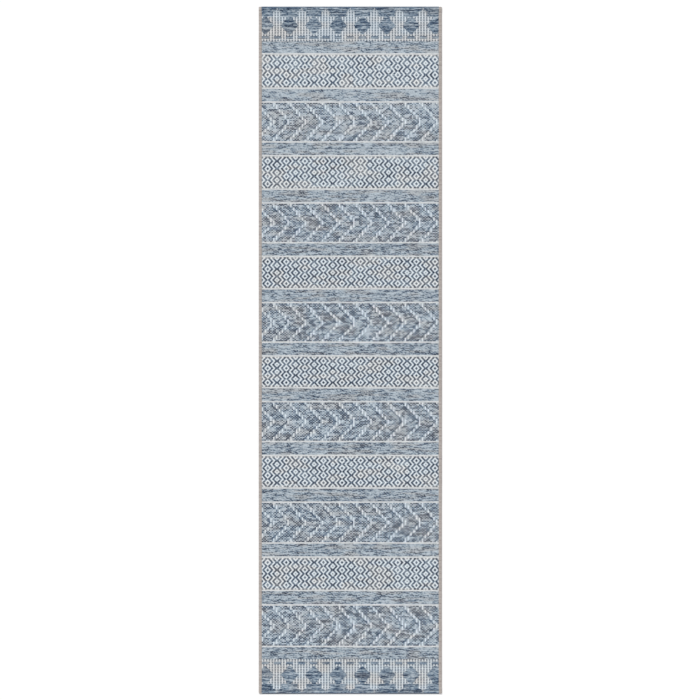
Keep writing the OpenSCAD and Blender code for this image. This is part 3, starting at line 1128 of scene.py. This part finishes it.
def draw_back(columns, row_lines):
    """The back of the weave: pale where the face is dark, each cell a mean of the face over it."""
    x = -half_w + BACK_CELL_W * (np.arange(columns) + 0.5)[None, :]
    middles = ((row_lines[1:] + row_lines[:-1]) / 2)[:, None]
    lengths = np.abs(np.diff(row_lines))[:, None]
    looks = []
    for i in QUARTERS:
        for j in QUARTERS:
            looks.append(face_paleness(x + i * BACK_CELL_W, middles + j * lengths))
    pale = sum(looks) / len(looks)
    row = np.arange(len(middles))[:, None] + 0.0
    tweed = patches(x, row, BACK_GRAIN, 71)
    cloudy = patches(x, row, BACK_PATCH, 73)
    cloth = blank_drawing(x, row)
    cloth["dye"] = spread(BACK_DYE[0] - BACK_DYE[1] * pale, (BACK_DYE_SPREAD, tweed))
    cream = spread(BACK_CREAM[0] - BACK_CREAM[1] * pale, (BACK_CREAM_SPREAD, tweed))
    cloth["cream"] = np.clip(cream, 0, 1)
    cloth["warm"] = np.clip(spread(BACK_WARM, (BACK_WARM_SPREAD, cloudy)), 0, 1)
    return cloth


# %% Weave the backing
backing_low, backing_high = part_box("backing_weave")
back_w = backing_high.x - backing_low.x
back_columns = round(back_w / MM / BACK_CELL_W)
back_ahead = np.stack([np.gradient(back_y), np.gradient(back_z)], axis=1)
back_ahead /= np.linalg.norm(back_ahead, axis=1)[:, None]
back_path = {"y": back_y, "z": back_z, "ny": back_ahead[:, 1], "nz": -back_ahead[:, 0]}
back_cloth = draw_back(back_columns, back_y)
backing = woven_piece(
    "backing_cloth", back_cloth, back_path, back_w, backing_t, EDGES_ONLY, EDGES_ONLY, True
)
finish_piece(backing, "backing_yarn", "backing_weave")
print("backing faces:", len(backing.data.polygons))

# %% [markdown]
# ## Whipped edges
#
# Thick tan yarn is wound round each long edge, turn beside turn. A curve swept into a thousand-turn
# coil would be heavy, and its inner half would never show. Instead, one sleeve is wrapped round the
# edge: a grid rolled into a flat-bottomed tube, with a ridge for each turn of the yarn, and each turn
# slanting a little as a real winding does.

# %% Serging
TURN_L = 3.3 * MM  # along the edge for each turn
AROUND = 16  # points round the sleeve
TURN_SIZE, TURN_SPREAD = 0.8, 0.4  # the shallowest groove as a share of RIDGE, and the range of it
RIDGE = 0.55 * MM  # from the valley between two turns to the crown of a turn
TURN_SLANT = 2.4 * MM
OVER_FACE = 1.2 * MM  # how far the yarn overlaps the face cloth
SERGED_T = 4.8 * MM
SQUARENESS = 2.7  # 2 is a round section; more is squarer


def sleeve_blank(rows):
    """A tube from y 0 to 1, as a rolled grid with its seam welded and its ends closed."""
    bm = bmesh.new()
    bmesh.ops.create_grid(bm, x_segments=AROUND, y_segments=rows, size=0.5)
    bmesh.ops.translate(bm, verts=bm.verts, vec=(0.5, 0.5, 0))
    for v in bm.verts:
        angle = 2 * math.pi * v.co.x
        v.co = (math.cos(angle), v.co.y, math.sin(angle))
    bmesh.ops.remove_doubles(bm, verts=bm.verts, dist=1e-6)
    bmesh.ops.holes_fill(bm, edges=[e for e in bm.edges if e.is_boundary], sides=0)
    bmesh.ops.recalc_face_normals(bm, faces=bm.faces)
    for face in bm.faces:
        face.smooth = len(face.verts) == 4
    return bm


def serge(name, node, side, seed):
    low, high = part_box(node)
    length = high.y - low.y
    turns = round(length / TURN_L)
    per_turn = len(SHOULDERS)
    bm = sleeve_blank(per_turn * turns)
    mesh = bpy.data.meshes.new(name)
    bm.to_mesh(mesh)
    bm.free()
    unit = np.empty(len(mesh.vertices) * 3)
    mesh.vertices.foreach_get("co", unit)
    unit = unit.reshape(-1, 3)
    row = np.rint(unit[:, 1] * per_turn * turns).astype(int)
    out, up = unit[:, 0], unit[:, 2]
    place = point_places(turns, SHOULDERS)[row] / turns
    from_end = np.minimum(place, 1 - place) * length
    slope = np.clip((from_end - TURNED - SLOPE_GAP) / SLOPE, 0, 1)
    height = high.z + (SERGED_T - high.z) * (1 - np.cos(np.pi * slope)) / 2
    on_crown = row % per_turn > 0
    turn_size = TURN_SIZE + TURN_SPREAD * np.random.default_rng(seed).random(turns + 1)
    sink = np.where(on_crown, 0.0, RIDGE) * turn_size[row // per_turn]
    half_x, half_z = (high.x - low.x + OVER_FACE) / 2, height / 2
    middle_x = side * (rug_w / 2 - half_x)
    round_x = np.sign(out) * np.abs(out) ** (2 / SQUARENESS)
    round_z = np.sign(up) * np.abs(up) ** (2 / SQUARENESS)
    points = np.empty_like(unit)
    points[:, 0] = middle_x + round_x * (half_x - sink)
    points[:, 2] = half_z + round_z * (half_z - sink)
    inside = (row > per_turn) & (row < per_turn * (turns - 1))
    lean = TURN_SLANT / 2 * out * side
    points[:, 1] = low.y + place * length + np.where(inside, lean, 0)
    settle(points)
    mesh.vertices.foreach_set("co", points.ravel())
    # the crown share, 1 on each turn and 0 between turns, drives painted shade in the material
    crown = mesh.attributes.new("crown", "FLOAT", "POINT")
    crown.data.foreach_set("value", on_crown.astype(float))
    mesh.update()
    piece = riding(name, mesh)
    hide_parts(node)
    print(f"{name}: {turns} turns, {len(mesh.polygons)} faces")
    return piece


left_serging = serge("left_serging", "left_edge_serging", -1, 51)
right_serging = serge("right_serging", "right_edge_serging", 1, 53)


# %% Serging material
SERGING_SHADES = [
    (0.30, (151, 143, 139)),
    (0.50, (179, 171, 166)),
    (0.70, (197, 191, 188)),
]
TURN_STRETCH = (0.02, 1.0, 0.02)  # one shade right round a turn
SHADE_L = 2.2 * TURN_L
SHADE_DETAIL = 4
SERGING_FIBRE_TONE = (0.86, 1.1)
# painted shade: colour factor from between the turns to their crowns
SERGING_VALLEY_SHADE = (0.66, 1.04)
SERGING_FUZZ_DEPTH, SERGING_FUZZ_STRENGTH = 0.12 * MM, 0.7


def serging_material():
    """Tan yarn: a slow drift of tone along the edge, each turn its own tone, painted shade between
    turns, fine fibre.
    """
    material, nodes, links, shader = new_yarn("serging_yarn")
    place = nodes.new("ShaderNodeTexCoord").outputs["Object"]
    turn = stretched(nodes, links, place, TURN_STRETCH)
    shades = colour_ramp(nodes, SERGING_SHADES)
    links.new(noise(nodes, links, turn, SHADE_L, SHADE_DETAIL), shades.inputs[0])
    fibre = noise(nodes, links, place, FIBRE_SIZE, FIBRE_DETAIL)
    colour_and_roughness(
        nodes, links, shader, shades.outputs[0], fibre, SERGING_FIBRE_TONE, SERGING_VALLEY_SHADE
    )
    fuzz = bumped(nodes, links, fibre, SERGING_FUZZ_DEPTH, SERGING_FUZZ_STRENGTH)
    links.new(fuzz, shader.inputs["Normal"])
    return material


tan_yarn = serging_material()
for piece in (left_serging, right_serging):
    piece.data.materials.append(tan_yarn)

# %% [markdown]
# ## Hem stitches
#
# A lock stitch holds the turned cloth: a row of short threads on top and another underneath. Each
# visible length is a small stretched sphere, sunk at both ends where the thread goes through.

# %% Hem threads
STITCH_PITCH = 10 * MM
STITCH_L = 6.5 * MM
THREAD = 0.9 * MM
THREAD_FLAT = 1.3  # how much wider than high the thread lies
THREAD_RISE = 0.15 * MM  # how far a stitch stands out of the top of its box
THREAD_SIDES = 6
LENGTH_RANGE = (0.95, 1.05)
STRAY = 0.2 * MM  # how far stitches stray from their line
QUARTER_TURN = Matrix.Rotation(math.pi / 2, 3, "Y")


def hem_threads(name, node, seed):
    low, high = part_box(node)
    middle_y = (low.y + high.y) / 2
    count = round((high.x - low.x - STITCH_L) / STITCH_PITCH) + 1
    jitter = np.random.default_rng(seed)
    bm = bmesh.new()
    for z in (low.z + THREAD / 2, high.z - THREAD / 2 + THREAD_RISE):
        for i in range(count):
            made = bmesh.ops.create_uvsphere(
                bm, u_segments=THREAD_SIDES, v_segments=THREAD_SIDES, radius=0.5
            )["verts"]
            bmesh.ops.rotate(bm, verts=made, matrix=QUARTER_TURN)
            size = (STITCH_L * jitter.uniform(*LENGTH_RANGE), THREAD * THREAD_FLAT, THREAD)
            bmesh.ops.scale(bm, verts=made, vec=size)
            x = low.x + STITCH_L / 2 + i * STITCH_PITCH
            y = middle_y + jitter.normal(0, STRAY)
            bmesh.ops.translate(bm, verts=made, vec=(x, y, z))
    for face in bm.faces:
        face.smooth = True
    mesh = bpy.data.meshes.new(name)
    bm.to_mesh(mesh)
    bm.free()
    mesh.materials.append(hem_thread)
    piece = riding(name, mesh)
    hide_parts(node)
    return piece


# %% Thread material and both hems
THREAD_SHADES = [(0.3, (92, 102, 116)), (0.7, (132, 142, 154))]
THREAD_GRAIN, THREAD_DETAIL = 0.8 * MM, 2
THREAD_ROUGHNESS = 0.8
hem_thread = bpy.data.materials.new("hem_thread")
hem_thread.use_nodes = True
thread_nodes, thread_links = hem_thread.node_tree.nodes, hem_thread.node_tree.links
thread_place = thread_nodes.new("ShaderNodeTexCoord").outputs["Object"]
thread_ramp = colour_ramp(thread_nodes, THREAD_SHADES)
thread_noise = noise(thread_nodes, thread_links, thread_place, THREAD_GRAIN, THREAD_DETAIL)
thread_links.new(thread_noise, thread_ramp.inputs[0])
thread_shader = thread_nodes["Principled BSDF"]
thread_links.new(thread_ramp.outputs[0], thread_shader.inputs["Base Color"])
thread_shader.inputs["Roughness"].default_value = THREAD_ROUGHNESS
far_threads = hem_threads("far_hem_threads", "far_hem_stitches", 61)
near_threads = hem_threads("near_hem_threads", "near_hem_stitches", 67)

# %% [markdown]
# ## The cloth as a whole
#
# The backing is one length of cloth. Its flat cut is the rug's width inside the serging and its
# length with both turned ends let out. The spare blanks are removed here, and the triangles of all
# pieces are counted.

# %% Totals
for mesh in blanks.values():
    bpy.data.meshes.remove(mesh)
total = 0
for piece in [*shown, backing, left_serging, right_serging, far_threads, near_threads]:
    piece.data.calc_loop_triangles()
    total += len(piece.data.loop_triangles)
print("triangles:", total)
